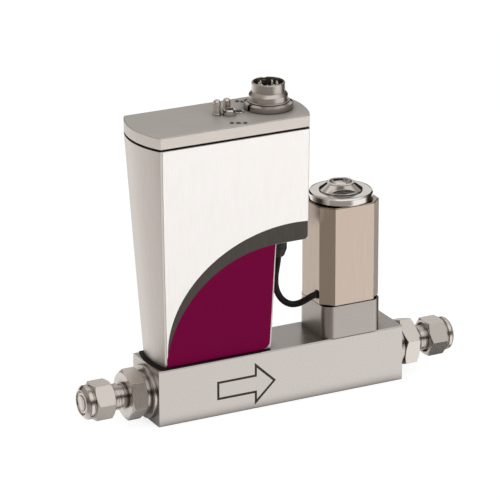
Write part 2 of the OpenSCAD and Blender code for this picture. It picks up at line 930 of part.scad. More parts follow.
// side vector that never lies along the cable
function cable_ring(p, i, r) =
  let (
    n = len(p),
    t = p[min(i + 1, n - 1)] - p[max(i - 1, 0)],
    u = t / norm(t),
    s0 = cross(u, [0, 1, 0.02]),
    s = s0 / norm(s0),
    w = cross(s, u)
  )
    [for (k = [0:cable_sides - 1])
      p[i] + r * cos(360 * k / cable_sides) * s + r * sin(360 * k / cable_sides) * w];

module valve_cable() {
  n = len(cable_pts);
  m = cable_sides;
  verts = [for (i = [0:n - 1]) for (v = cable_ring(cable_pts, i, cable_r)) v];
  walls = [for (i = [0:n - 2]) for (k = [0:m - 1])
    [i * m + k, i * m + (k + 1) % m, (i + 1) * m + (k + 1) % m, (i + 1) * m + k]];
  ends = [[for (k = [m - 1:-1:0]) k], [for (k = [0:m - 1]) (n - 1) * m + k]];
  color([0.05, 0.05, 0.05])
    polyhedron(points = verts, faces = concat(walls, ends), convexity = 6);
}

module cable_gland() {
  color([0.06, 0.06, 0.06])
    difference() {
      union() {
        turned_z([
          [0, over_z - 5], [3.1, over_z - 5], [3.1, over_z - 1.8], [4.9, over_z - 1.8],
          [4.9, over_z - 0.4], [4.5, over_z], [3.45, over_z], [3.45, over_z + 5], [0, over_z + 5]
        ], gland_x, 0, 48);
      }
      zcyl(1.35, over_z - 8, over_z + 7, gland_x, 0, 24);
    }
}

module gland_cap() {
  color([0.07, 0.07, 0.07])
    difference() {
      turned_z([
        [0, 70.6], [2.1, 70.6], [3, 71.4], [4, 74.2], [4.2, 75], [4.2, over_z - 2.1], [0, over_z - 2.1]
      ], gland_x, 0, 48);
      zcyl(3.15, over_z - 5.2, over_z, gland_x, 0, 32);
      turned_z([[0, 69], [1.9, 69], [1.36, 71.6], [1.36, 80], [0, 80]], gland_x, 0, 24);
      // finger grooves
      for (a = [0:45:315])
        translate([gland_x + 4.5 * cos(a), 4.5 * sin(a), 75])
          cylinder(r = 0.55, h = 8, $fn = 16);
    }
}

module gland_locknut() {
  color([0.08, 0.08, 0.08])
    translate([gland_x, 0, 0])
      difference() {
        hex_z(9, over_z + wall + 0.02, over_z + wall + 2, 0);
        zcyl(3.5, over_z, over_z + 6, 0, 0, 32);
      }
}

module valve_grommet() {
  x0 = valve_x - cover_w / 2;
  color([0.05, 0.05, 0.05])
    difference() {
      union() {
        xcyl(2.2, x0 - 0.35, x0, -6.5, 50, 32);
        xcyl(1.95, x0 - 0.1, x0 + 2.8, -6.5, 50, 32);
      }
      xcyl(1.5, x0 - 2, x0 + 4, -6.5, 50, 24);
    }
}

// ---------- control valve ----------
module valve_base() {
  color([0.68, 0.65, 0.62])
    difference() {
      translate([valve_x, 0, 0])
        round_prism(base_w, block_w, 5, block_h, base_top);
      zcyl(10, block_h - 1, 32, valve_x, 0);
      zcyl(6.3, 31, base_top + 1, valve_x, 0);
      // seal groove
      difference() {
        zcyl(12.6, block_h - 1, block_h + 1.5, valve_x, 0);
        zcyl(10.7, block_h - 2, block_h + 2, valve_x, 0);
      }
      // seat of the core tube flange
      zcyl(9.6, 42.4, base_top + 1, valve_x, 0);
      for (sx = [-1, 1])
        for (sy = [-1, 1]) {
          zcyl(1.65, block_h - 1, base_top + 1, valve_x + sx * screw_dx, sy * screw_dy, 24);
          zcyl(2.9, 41, base_top + 1, valve_x + sx * screw_dx, sy * screw_dy, 24);
        }
    }
}

module valve_base_screws() {
  color([0.34, 0.34, 0.35])
    for (sx = [-1, 1])
      for (sy = [-1, 1])
        translate([valve_x + sx * screw_dx, sy * screw_dy, 0])
          difference() {
            union() {
              zcyl(1.45, 20, 41.1, 0, 0, 20);
              zcyl(2.75, 41.02, 44.2, 0, 0, 24);
            }
            translate([0, 0, 42.6])
              cylinder(r = 1.45, h = 3, $fn = 6);
          }
}

module valve_seal() {
  color([0.06, 0.06, 0.06])
    translate([valve_x, 0, block_h + 0.76])
      rotate_extrude($fn = 64)
        translate([11.65, 0])
          circle(r = 0.74, $fn = 20);
}

module orifice_seat() {
  color([0.82, 0.81, 0.78])
    difference() {
      turned_z([
        [0, 24.52], [5.95, 24.52], [5.95, 28.2], [5.2, 28.6], [2.4, 28.9], [1.5, seat_z - 0.2],
        [1.2, seat_z], [0, seat_z]
      ], valve_x, 0, 48);
      zcyl(2, 23, 27.5, valve_x, 0, 24);
      zcyl(0.5, 26, 32, valve_x, 0, 20);
      // key slot for the seat tool
      translate([valve_x - 4.6, -0.6, 27.6])
        cube([1.6, 1.2, 2]);
      translate([valve_x + 3, -0.6, 27.6])
        cube([1.6, 1.2, 2]);
    }
}

module plunger() {
  color([0.74, 0.73, 0.72])
    difference() {
      turned_z([
        [0, plunger_z0 + 0.6], [2, plunger_z0 + 0.6], [2, plunger_z0 + 1.6], [5.6, plunger_z0 + 2.4],
        [6.24, plunger_z0 + 3.2], [6.24, plunger_z1 - 0.5], [5.8, plunger_z1], [0, plunger_z1]
      ], valve_x, 0, 60);
      // pocket for the return spring and two flats that let gas past
      zcyl(3.4, 58, plunger_z1 + 1, valve_x, 0, 40);
      for (s = [-1, 1])
        translate([valve_x - 8, s * 7.9 - 2.2, 33])
          cube([16, 4.4, 27]);
    }
}

module plunger_pad() {
  color([0.08, 0.07, 0.07])
    turned_z([[0, plunger_z0], [1.9, plunger_z0], [1.95, plunger_z0 + 0.58], [0, plunger_z0 + 0.58]],
      valve_x, 0, 32);
}

module plunger_spring() {
  turns = 7;
  z0 = 58.6;
  z1 = pole_z + 1.9;
  per = 10;
  n = turns * per;
  m = 6;
  wr = 0.3;
  cr = 2.7;
  pts = [for (i = [0:n]) [valve_x + cr * cos(360 * i / per), cr * sin(360 * i / per), z0 + (z1 - z0) * i / n]];
  verts = [for (i = [0:n]) for (k = [0:m - 1])
    let (a = 360 * i / per, b = 360 * k / m)
      pts[i] + [wr * cos(b) * cos(a), wr * cos(b) * sin(a), wr * sin(b)]];
  walls = [for (i = [0:n - 1]) for (k = [0:m - 1])
    [i * m + k, i * m + (k + 1) % m, (i + 1) * m + (k + 1) % m, (i + 1) * m + k]];
  ends = [[for (k = [m - 1:-1:0]) k], [for (k = [0:m - 1]) n * m + k]];
  color([0.76, 0.75, 0.74])
    polyhedron(points = verts, faces = concat(walls, ends), convexity = 8);
}

module core_tube() {
  color([0.78, 0.77, 0.76])
    difference() {
      turned_z([
        [0, 42.42], [9.5, 42.42], [9.5, 44.6], [7, 44.6], [7, 92.4], [0, 92.4]
      ], valve_x, 0, 60);
      zcyl(6.3, 41, 94, valve_x, 0, 60);
    }
}

module pole_piece() {
  color([0.66, 0.66, 0.67])
    difference() {
      turned_z([
        [0, pole_z], [5.9, pole_z], [6.26, pole_z + 0.4], [6.26, 92.4], [2.95, 92.4],
        [2.95, disc_top + 2.4], [2.6, disc_top + 2.8], [0, disc_top + 2.8]
      ], valve_x, 0, 60);
      zcyl(3.4, pole_z - 1, pole_z + 2.2, valve_x, 0, 40);
    }
}

module coil_bobbin() {
  color([0.10, 0.10, 0.11])
    difference() {
      turned_z([
        [0, 47.4], [12.2, 47.4], [12.2, 49], [8.2, 49], [8.2, 89], [12.2, 89], [12.2, 90.6], [0, 90.6]
      ], valve_x, 0, 60);
      zcyl(7.05, 46, 92, valve_x, 0, 60);
    }
}

module coil_winding() {
  color([0.62, 0.30, 0.12])
    difference() {
      turned_z([[0, 49.1], [11.7, 49.1], [11.9, 50], [11.9, 88], [11.7, 88.9], [0, 88.9]], valve_x, 0, 60);
      zcyl(8.22, 48, 90, valve_x, 0, 60);
    }
}

module coil_cover() {
  color([0.76, 0.70, 0.64])
    difference() {
      translate([valve_x, 0, 0])
        union() {
          cut_prism(cover_w, cover_d, cover_bevel, cover_z0 + 0.3, cover_top - 0.4);
          cut_prism(cover_w - 0.7, cover_d - 0.7, cover_bevel - 0.2, cover_top - 0.5, cover_top);
          cut_prism(cover_w - 0.7, cover_d - 0.7, cover_bevel - 0.2, cover_z0, cover_z0 + 0.4);
        }
      zcyl(12.5, 47, 91, valve_x, 0, 60);
      zcyl(7.1, cover_z0 - 1, 92.4, valve_x, 0, 60);
      zcyl(3.05, 92, cover_top + 1, valve_x, 0, 32);
      xcyl(2, valve_x - cover_w / 2 - 1, valve_x - 8, -6.5, 50, 32);
    }
}

module cap_disc() {
  color([0.82, 0.80, 0.78])
    difference() {
      turned_z([
        [0, cover_top], [disc_d / 2 - 0.8, cover_top], [disc_d / 2, cover_top + 0.7],
        [disc_d / 2, disc_top - 0.9], [disc_d / 2 - 0.6, disc_top - 0.15], [disc_d / 2 - 1.4, disc_top],
        [0, disc_top]
      ], valve_x, 0, 90);
      zcyl(3.05, cover_top - 1, disc_top + 1, valve_x, 0, 32);
    }
}

module cap_nut() {
  color([0.76, 0.75, 0.73])
    difference() {
      turned_z([
        [0, disc_top], [10.6, disc_top], [10.6, disc_top + 0.5], [6.7, disc_top + 3.5],
        [6.6, disc_top + 3.9], [6.3, disc_top + 4.1], [0, disc_top + 4.1]
      ], valve_x, 0, 72);
      zcyl(3, disc_top - 1, disc_top + 6, valve_x, 0, 32);
      turned_z([
        [0, disc_top + 2.6], [5, disc_top + 2.6], [5.4, disc_top + 3.8], [5.6, disc_top + 4.2],
        [0, disc_top + 4.2]
      ], valve_x, 0, 48);
      // two wrench flats
      for (a = [0, 180])
        translate([valve_x, 0, disc_top + 0.75])
          rotate([0, 0, a - 18])
            translate([-7, -13, 0])
              cube([14, 5, 5]);
    }
}

// ---------- choose what is drawn ----------

base_block();
flow_arrow();
flow_splitter();
inlet_filter();
inlet_adapter();
outlet_adapter();
port_seals();
inlet_nut();
outlet_nut();
front_ferrules();
back_ferrules();
sensor_base();
sensor_seals();
capillary_tube();
sensor_windings();
sensor_cover();
sensor_screws();
housing();
housing_gasket();
lid_gasket();
lid();
front_label();
main_board();
board_bracket();
board_screws();
board_parts();
board_headers();
panel_board();
panel_switch();
switch_button();
panel_lamps();
lens();
lens_bezel();
earth_posts();
tie_rod();
earth_nut();
connector_shell();
connector_insert();
connector_pins();
connector_nut();
valve_cable();
cable_gland();
gland_cap();
gland_locknut();
valve_grommet();
valve_base();
valve_base_screws();
valve_seal();
orifice_seat();
plunger();
plunger_pad();
plunger_spring();
core_tube();
pole_piece();
coil_bobbin();
coil_winding();
coil_cover();
cap_disc();
cap_nut();
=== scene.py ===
# %% [markdown]
# # A thermal mass flow controller
# A steel block carries gas from left to right. A leaning housing on it holds the flow
# sensor and its board, and a magnetic valve beside the housing sets the flow.
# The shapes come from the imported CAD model. This lesson gives them their surfaces, and
# adds what is too fine for CAD: threads, port plugs, arrow paint and a smooth cable.

# %% Load the frame
import math

import bpy
import numpy as np
from mathutils import Matrix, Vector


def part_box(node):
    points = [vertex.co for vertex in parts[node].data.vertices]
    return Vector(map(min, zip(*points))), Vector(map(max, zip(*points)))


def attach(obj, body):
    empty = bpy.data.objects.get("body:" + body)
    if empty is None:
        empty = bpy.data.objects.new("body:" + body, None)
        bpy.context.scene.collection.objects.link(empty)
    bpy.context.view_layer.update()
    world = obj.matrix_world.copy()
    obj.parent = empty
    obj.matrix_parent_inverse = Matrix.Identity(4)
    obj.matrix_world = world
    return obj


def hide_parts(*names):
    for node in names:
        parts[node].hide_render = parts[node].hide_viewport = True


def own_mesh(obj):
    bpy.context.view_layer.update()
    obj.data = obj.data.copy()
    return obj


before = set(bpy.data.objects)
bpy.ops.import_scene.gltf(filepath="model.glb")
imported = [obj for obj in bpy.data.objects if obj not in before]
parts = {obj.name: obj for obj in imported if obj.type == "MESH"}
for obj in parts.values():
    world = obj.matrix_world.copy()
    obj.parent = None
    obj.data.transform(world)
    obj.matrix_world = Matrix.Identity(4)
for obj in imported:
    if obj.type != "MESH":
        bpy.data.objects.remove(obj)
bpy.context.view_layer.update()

# %% Where the main axes lie
MM_PER_M = 1000


def middle(node):
    """Centre of a node's box, (low + high) / 2, in metres, to a hundredth of a millimetre."""
    low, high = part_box(node)
    return [round((a + b) / 2, 5) for a, b in zip(low, high)]


port_z = middle("inlet_nut")[2]
valve_x = middle("cap_disc")[0]
plug_x = middle("connector_shell")[0]
rod_x, rod_y = middle("tie_rod")[:2]
print("port axis z", port_z, "valve x", valve_x, "plug x", plug_x, "rod", rod_x, rod_y)

# %% [markdown]
# ## Camera
# A short lens close by would spread the upright edges, and a camera without perspective
# would take the depth out of the block. So a long lens stands more than a metre and a
# half away. It is placed by two angles and a distance from the point it looks at, and
# its three axes are written straight into its matrix, so nothing has to track anything.

# %% Place the camera
SENSOR_WIDTH = 36.0  # mm


def camera_axes(azimuth, elevation, roll):
    """Right, up and back vectors of a camera at that azimuth from the front (-Y) and height."""
    a, e, r = np.radians([azimuth, elevation, roll])
    back = np.array([np.sin(a) * np.cos(e), -np.cos(a) * np.cos(e), np.sin(e)])
    right = np.array([np.cos(a), np.sin(a), 0.0])
    up = np.cross(back, right)
    return np.cos(r) * right + np.sin(r) * up, np.cos(r) * up - np.sin(r) * right, back


def facing(target, distance, azimuth, elevation, roll=0):
    """Matrix whose columns are right, up and back, standing at target + back * distance."""
    right, up, back = camera_axes(azimuth, elevation, roll)
    pose = np.eye(4)
    pose[:3, :3] = np.stack([right, up, back], axis=1)
    pose[:3, 3] = np.array(target) + back * distance
    return Matrix(pose.tolist())


def place_camera(lens, **stand):
    """A camera with that lens (mm), standing as facing() places it."""
    data = bpy.data.cameras.new("studio_camera")
    data.lens, data.sensor_width, data.clip_end = lens, SENSOR_WIDTH, 50.0
    made = bpy.data.objects.new("studio_camera", data)
    made.matrix_world = facing(**stand)
    bpy.context.scene.collection.objects.link(made)
    bpy.context.scene.camera = made
    return made


camera = place_camera(lens=241.63, target=(-0.01033, 0, 0.07635), distance=1.6136,
                      azimuth=-27.116, elevation=19.856, roll=-0.182)
bpy.context.scene.view_settings.view_transform = "Standard"
print("camera at", [round(v, 3) for v in camera.matrix_world.translation])

# %% [markdown]
# ## Nodes in one line
# Every finish is a small network of shader nodes. It could be drawn by hand in the shader
# editor, but then it could not be read. These helpers add a node, set its values and link
# its inputs, so that a finish reads like a recipe.

# %% Node helpers
def add(tree, kind, sockets=None, **settings):
    """Adds a shader node; a socket value is either a number or another node's output."""
    made = tree.nodes.new("ShaderNode" + kind)
    for key, value in settings.items():
        setattr(made, key, value)
    for key, value in (sockets or {}).items():
        if isinstance(value, bpy.types.NodeSocket):
            tree.links.new(value, made.inputs[key])
        else:
            made.inputs[key].default_value = value
    return made


def new_finish(name, **sockets):
    """A material with one Principled shader, whose plain values are set on its own sockets."""
    finish = bpy.data.materials.new(name)
    finish.use_nodes = True
    tree = finish.node_tree
    shader = tree.nodes["Principled BSDF"]
    for key, value in sockets.items():
        shader.inputs[key.replace("_", " ")].default_value = value
    return finish, tree, shader


def place(tree):
    """Object coordinates, in metres."""
    return add(tree, "TexCoord").outputs["Object"]


def shift_scale(tree, vector, scale, move=(0, 0, 0)):
    """vector * scale + move, with one Mapping node."""
    return add(tree, "Mapping", {"Vector": vector, "Location": move, "Scale": scale}).outputs[0]


print("node helpers ready")

# %% Ramps
def spread(tree, value, low, high, start=0.3, stop=0.7):
    """A grey value taken from start..stop to low..high."""
    return add(tree, "MapRange", {0: value, 1: start, 2: stop, 3: low, 4: high}).outputs[0]


def tint(tree, value, dark, light, start=0.3, stop=0.7):
    """Colour ramp between two colours."""
    ramp = add(tree, "ValToRGB", {0: value})
    ramp.color_ramp.elements[0].position, ramp.color_ramp.elements[1].position = start, stop
    ramp.color_ramp.elements[0].color = (*dark, 1)
    ramp.color_ramp.elements[1].color = (*light, 1)
    return ramp.outputs[0]


def times(tree, *values):
    """Product of all values, numbers or node outputs."""
    total = values[0]
    for value in values[1:]:
        total = add(tree, "Math", {0: total, 1: value}, operation="MULTIPLY").outputs[0]
    return total


def plus(tree, *values):
    """Sum of all values, numbers or node outputs."""
    total = values[0]
    for value in values[1:]:
        total = add(tree, "Math", {0: total, 1: value}, operation="ADD").outputs[0]
    return total


print("ramps and sums ready")

# %% [markdown]
# ## The room
# Polished steel shows little but what it mirrors. Lamps and boards could be set up around
# the object, but each one would throw its own light and shadow. So only mirror rays see
# this room: a bright table, dark bands near the horizon, a bright strip behind and a soft
# panel high in front. Each of them is a soft-edged window of azimuth and height, and its
# amount is added to a base value. All other rays meet an even, weak light.

# %% Windows of the room
def window(tree, angle, centre, half, soft):
    """1 while |angle - centre| < half - soft, 0 beyond half + soft, a smooth step between."""
    off = add(tree, "Math", {0: angle, 1: centre}, operation="SUBTRACT").outputs[0]
    off = add(tree, "Math", {0: off, 1: 180.0, 2: -180.0}, operation="WRAP").outputs[0]
    off = add(tree, "Math", {0: off}, operation="ABSOLUTE").outputs[0]
    return add(tree, "MapRange", {0: off, 1: half - soft, 2: half + soft, 3: 1.0, 4: 0.0},
               interpolation_type="SMOOTHSTEP").outputs[0]


ROOM_BASE = 0.42
ROOM_LEAST = 0.015
windows = [  # azimuth (0 is in front, + to the right), half, edge, height, half, edge, amount
    (43, 29, 9, -50, 52, 12, 0.58),     # bright table, right in front
    (160, 42, 10, -38, 34, 6, 0.45),    # bright table behind
    (155, 45, 12, 4, 7, 3, -0.42),      # dark band low behind
    (153, 45, 12, 24, 10, 4, 0.34),     # bright strip behind
    (160, 80, 20, 60, 14, 6, 0.36),     # pale wall high behind
    (-130, 38, 14, -50, 55, 12, 0.32),  # table on the left
    (97, 20, 8, -20, 50, 15, -0.38),    # black board on the right
    (-10, 75, 20, 10, 14, 5, -0.39),    # dark band in front
    (5, 65, 20, 50, 24, 8, 0.50),       # soft panel high in front
    (0, 181, 1, 90, 12, 6, -0.22),      # darker ceiling
    (-172, 15, 6, 14, 9, 4, -0.70),     # black gap, one end of the strip
    (115, 14, 6, 14, 9, 4, -0.70),      # black gap, the other end
    (74, 24, 8, -66, 13, 5, -0.25),     # darker table close by on the right
]
print(len(windows), "windows")

# %% The room that mirror rays see
def direction_angles(tree):
    """Azimuth atan2(x, -y) and height asin(z) of the direction that a ray takes, in degrees."""
    toward = add(tree, "SeparateXYZ", {0: add(tree, "TexCoord").outputs["Generated"]}).outputs
    viewer = add(tree, "Math", {0: toward["Y"], 1: -1.0}, operation="MULTIPLY").outputs[0]
    turn = add(tree, "Math", {0: toward["X"], 1: viewer}, operation="ARCTAN2").outputs[0]
    rise = add(tree, "Math", {0: toward["Z"]}, operation="ARCSINE").outputs[0]
    return [add(tree, "Math", {0: angle}, operation="DEGREES").outputs[0] for angle in (turn, rise)]


world = bpy.data.worlds.new("studio")
bpy.context.scene.world = world
world.use_nodes = True
sky = world.node_tree
turn, rise = direction_angles(sky)
room = plus(sky, *[times(sky, window(sky, turn, *w[0:3]), window(sky, rise, *w[3:6]), w[6])
                   for w in windows], ROOM_BASE)
room = add(sky, "Math", {0: room, 1: ROOM_LEAST}, operation="MAXIMUM").outputs[0]
warmth = tint(sky, room, (0.62, 0.50, 0.40), (1.0, 0.98, 0.965), 0.05, 0.85)
print("room made of", len(sky.nodes), "nodes")

# %% Who sees which light
mirror = add(sky, "Background", {"Color": warmth, "Strength": room})
even = add(sky, "Background", {"Color": (1.0, 0.985, 0.97, 1), "Strength": 0.36})
white = add(sky, "Background", {"Color": (1, 1, 1, 1), "Strength": 1.0})
rays = add(sky, "LightPath").outputs
glossy = add(sky, "MixShader", {0: rays["Is Glossy Ray"], 1: even.outputs[0], 2: mirror.outputs[0]})
seen = add(sky, "MixShader", {0: rays["Is Camera Ray"], 1: glossy.outputs[0], 2: white.outputs[0]})
sky.links.new(seen.outputs[0], sky.nodes["World Output"].inputs["Surface"])
print("mirror rays see the room, the camera sees white, all others an even light")

# %% [markdown]
# ## Lamps
# Painted and printed faces need light from lamps. A large soft one in front and a weaker
# one on the left give the front the most light and the left end about two thirds of it.
# A small lamp would be brighter for its size but would throw hard shadows. Mirror rays
# don't see the lamps, because the room stands for them.

# %% Lamps
LAMP_TARGET = (-0.01, 0, 0.07)
LAMP_DISTANCE = 1.5


def softbox(name, azimuth, elevation, width, height, watts):
    """A rectangular lamp that faces the middle of the object."""
    data = bpy.data.lights.new(name, "AREA")
    data.shape, data.size, data.size_y, data.energy = "RECTANGLE", width, height, watts
    data.color = (1.0, 0.975, 0.95)
    made = bpy.data.objects.new(name, data)
    made.matrix_world = facing(LAMP_TARGET, LAMP_DISTANCE, azimuth, elevation)
    made.visible_glossy = False
    bpy.context.scene.collection.objects.link(made)
    return made


front_lamp = softbox("front_lamp", azimuth=14, elevation=14, width=1.1, height=0.9, watts=15.0)
left_lamp = softbox("left_lamp", azimuth=-112, elevation=16, width=0.8, height=0.9, watts=9.0)
print("lamps:", front_lamp.data.energy, left_lamp.data.energy, "W")

# %% [markdown]
# ## Floor
# The object stands on a plain white table. A lit table would come out grey in places, and
# no table at all would leave the object floating. So the camera sees almost pure white
# with a trace of shadow. Mirror rays look through the table to the room, and it is dark to
# them close to the object, where little light reaches it.

# %% Floor
FLOOR_HALF = 4
FLOOR_DROP = 0.0001  # m, so that the block's underside and the table don't share a plane
FLOOR_GLOW = 0.8
FLOOR_SHADOW_PAINT = (0.45, 0.46, 0.47, 1)
FLOOR_DARK_REACH = 0.009  # m


def white_floor():
    """Camera rays see glow + shadow paint, glossy rays see through with painted shade near the
    object, all others see white paint.
    """
    finish = bpy.data.materials.new("table_white")
    finish.use_nodes = True
    tree = finish.node_tree
    tree.nodes.clear()
    paint = add(tree, "BsdfDiffuse", {"Color": (0.86, 0.845, 0.83, 1)})
    glow = add(tree, "Emission", {"Color": (1, 1, 1, 1), "Strength": FLOOR_GLOW})
    shade = add(tree, "BsdfDiffuse", {"Color": FLOOR_SHADOW_PAINT})
    lit = add(tree, "AddShader", {0: glow.outputs[0], 1: shade.outputs[0]})
    rays = add(tree, "LightPath").outputs
    seen = add(tree, "MixShader", {0: rays["Is Camera Ray"], 1: paint.outputs[0], 2: lit.outputs[0]})
    # Painted shade: glossy rays through the table darken close to the object.
    painted_shade_near = add(tree, "AmbientOcclusion", {"Distance": FLOOR_DARK_REACH}, samples=8).outputs["AO"]
    painted_shade_near = spread(tree, painted_shade_near, low=0.3, high=1.0, start=0.3, stop=0.9)
    clear = add(tree, "BsdfTransparent", {"Color": painted_shade_near})
    both = add(tree, "MixShader", {0: rays["Is Glossy Ray"], 1: seen.outputs[0], 2: clear.outputs[0]})
    tree.links.new(both.outputs[0], add(tree, "OutputMaterial").inputs["Surface"])
    return finish


floor_data = bpy.data.meshes.new("floor")
floor_corners = [(x * FLOOR_HALF, y * FLOOR_HALF, 0) for x, y in ((-1, -1), (1, -1), (1, 1), (-1, 1))]
floor_data.from_pydata(floor_corners, [], [(0, 1, 2, 3)])
floor_data.materials.append(white_floor())
floor = bpy.data.objects.new("floor", floor_data)
floor.location.z = -FLOOR_DROP
bpy.context.scene.collection.objects.link(floor)
print("floor", 2 * FLOOR_HALF, "m square")

# %% [markdown]
# ## Edges, corners and tops
# A tool never leaves a perfect edge, shade falls in corners, and a top takes less light
# than a front. The edges could be bevelled one by one and the corners painted, but the CAD
# meshes stay as they are. So three helpers do it in the finish, for every part alike: a
# rounded edge, painted shade in corners and painted shade on tops.

# %% Edge, corner and top helpers
def soft_edge(tree, radius=0.00025):
    """The normal, rounded over a fraction of a millimetre at every edge."""
    return add(tree, "Bevel", {"Radius": radius}, samples=4).outputs[0]


def corner_shade(tree, colour, reach=0.008, least=0.35):
    """Painted shade: colour times a factor that falls from 1 to least as less light comes in within
    reach (m).
    """
    open_part = add(tree, "AmbientOcclusion", {"Distance": reach}, samples=8).outputs["AO"]
    factor = spread(tree, open_part, low=least, high=1.0, start=0.25, stop=0.9)
    return add(tree, "VectorMath", {0: colour, 1: factor}, operation="MULTIPLY").outputs[0]


def top_shade(tree, colour, least):
    """Painted shade: colour times a factor that falls from 1 to least as the surface turns up."""
    up = add(tree, "SeparateXYZ", {0: add(tree, "TexCoord").outputs["Normal"]}).outputs["Z"]
    factor = spread(tree, up, low=1.0, high=least, start=0.6, stop=0.95)
    return add(tree, "VectorMath", {0: colour, 1: factor}, operation="MULTIPLY").outputs[0]


print("edge, corner and top helpers ready")

# %% [markdown]
# ## Ground metal
# A belt leaves short parallel scratches on the block, the valve's base, the cover, the
# housing and the lid. A picture of brushed steel would have to be laid on each face and
# would show its joints. Noise that is stretched along the scratch runs through the whole
# part instead. It moves the roughness a little, tints the colour and lifts the surface by
# a few thousandths of a millimetre.

# %% Ground metal
BLOTCH = 0.05  # how much slow, cloudy noise joins the scratches


def ground_metal(name, dark, light, roughness, stretch, depth=0.000004, reach=0.008,
                 least=0.35, top=1.0, metal=1.0):
    """Colour = ramp(scratch noise + BLOTCH * cloud), with painted shade on tops (top) and in corners
    (reach, least); stretch is noise scale along x, y, z, per m.
    """
    finish, tree, shader = new_finish(name, Metallic=metal)
    scratch = add(tree, "TexNoise", {"Vector": shift_scale(tree, place(tree), stretch),
                                     "Scale": 1.0, "Detail": 3.0, "Roughness": 0.6}).outputs[0]
    cloud = add(tree, "TexNoise", {"Vector": place(tree), "Scale": 45.0, "Detail": 2.0}).outputs[0]
    both = add(tree, "Math", {0: cloud, 1: BLOTCH, 2: scratch}, operation="MULTIPLY_ADD").outputs[0]
    colour = tint(tree, both, dark, light, 0.3 + BLOTCH / 2, 0.7 + BLOTCH / 2)
    # Painted shade: darker on tops, then darker in corners.
    if top < 1:
        colour = top_shade(tree, colour, top)
    tree.links.new(corner_shade(tree, colour, reach, least), shader.inputs["Base Color"])
    tree.links.new(spread(tree, both, roughness - 0.03, roughness + 0.04),
                   shader.inputs["Roughness"])
    lift = add(tree, "Bump", {"Height": scratch, "Distance": depth, "Strength": 1.0,
                              "Normal": soft_edge(tree)})
    tree.links.new(lift.outputs[0], shader.inputs["Normal"])
    return finish


# %% Ground finishes
# Noise scale along x, y and z, per metre. The scratches run the way of the smallest number.
ALONG_BLOCK = (60, 2600, 2600)
ROUND_BASE = (70, 70, 2600)
UP_COVER = (2200, 2200, 50)
UP_HOUSING = (1500, 1500, 35)
ALONG_LID = (90, 1800, 1800)
ACROSS_SHEET = (900, 120, 900)

# reach and least set the painted shade in corners, top the painted shade on tops such as the block's
# and the lid's.
block_steel = ground_metal("block_steel", (0.635, 0.60, 0.572), (0.685, 0.65, 0.622), 0.26,
                           ALONG_BLOCK, depth=0.000002, reach=0.007, least=0.4, top=0.66)
cover_nickel = ground_metal("cover_nickel", (0.58, 0.485, 0.41), (0.64, 0.54, 0.46), 0.20, UP_COVER)
base_steel = ground_metal("base_steel", (0.50, 0.465, 0.435), (0.57, 0.53, 0.50), 0.34,
                          ROUND_BASE, reach=0.022, least=0.45)
housing_steel = ground_metal("housing_steel", (0.79, 0.75, 0.71), (0.86, 0.82, 0.785), 0.44,
                             UP_HOUSING, reach=0.016, least=0.15)
lid_steel = ground_metal("lid_steel", (0.64, 0.60, 0.56), (0.70, 0.66, 0.62), 0.42,
                         ALONG_LID, depth=0.0000015, top=0.94, metal=0.25)
inner_alloy = ground_metal("inner_alloy", (0.60, 0.60, 0.60), (0.74, 0.74, 0.735), 0.38,
                           ACROSS_SHEET)
print("finishes so far:", len(bpy.data.materials))

# %% [markdown]
# ## Turned metal
# Nuts, adapters, the valve's disc and the plug come from a lathe, which leaves fine rings
# about their axis. An anisotropic shader would stretch the highlight but leave the rings
# out. Noise of two lengths, the distance along the axis and the distance from it, gives
# both.

# %% Turned metal
RINGS_PER_M = 5200.0
RING_DEPTH = 0.000004
RING_START, RING_STOP = 0.4, 0.85


def turned_metal(name, dark, light, roughness, axis, centre):
    """Colour = ramp(noise(distance along the axis, distance from it) + cloud / 4), with painted shade
    in corners.
    """
    finish, tree, shader = new_finish(name, Metallic=1.0)
    moved = shift_scale(tree, place(tree), (1, 1, 1), tuple(-c for c in centre))
    split = add(tree, "SeparateXYZ", {0: moved}).outputs
    across = (0, 1, 1) if axis == "X" else (1, 1, 0)
    flat = shift_scale(tree, moved, across)
    radius = add(tree, "VectorMath", {0: flat}, operation="LENGTH").outputs["Value"]
    groove = add(tree, "CombineXYZ", {0: split[axis], 1: radius}).outputs[0]
    ring = add(tree, "TexNoise", {"Vector": groove, "Scale": RINGS_PER_M, "Detail": 3.0}).outputs[0]
    cloud = add(tree, "TexNoise", {"Vector": place(tree), "Scale": 90.0, "Detail": 2.0}).outputs[0]
    both = add(tree, "Math", {0: cloud, 1: 0.25, 2: ring}, operation="MULTIPLY_ADD").outputs[0]
    colour = tint(tree, both, dark, light, RING_START, RING_STOP)
    # Painted shade in the corners between parts.
    tree.links.new(corner_shade(tree, colour, reach=0.004), shader.inputs["Base Color"])
    tree.links.new(spread(tree, both, roughness - 0.05, roughness + 0.08, RING_START, RING_STOP),
                   shader.inputs["Roughness"])
    lift = add(tree, "Bump", {"Height": ring, "Distance": RING_DEPTH, "Strength": 1.0,
                              "Normal": soft_edge(tree)})
    tree.links.new(lift.outputs[0], shader.inputs["Normal"])
    return finish


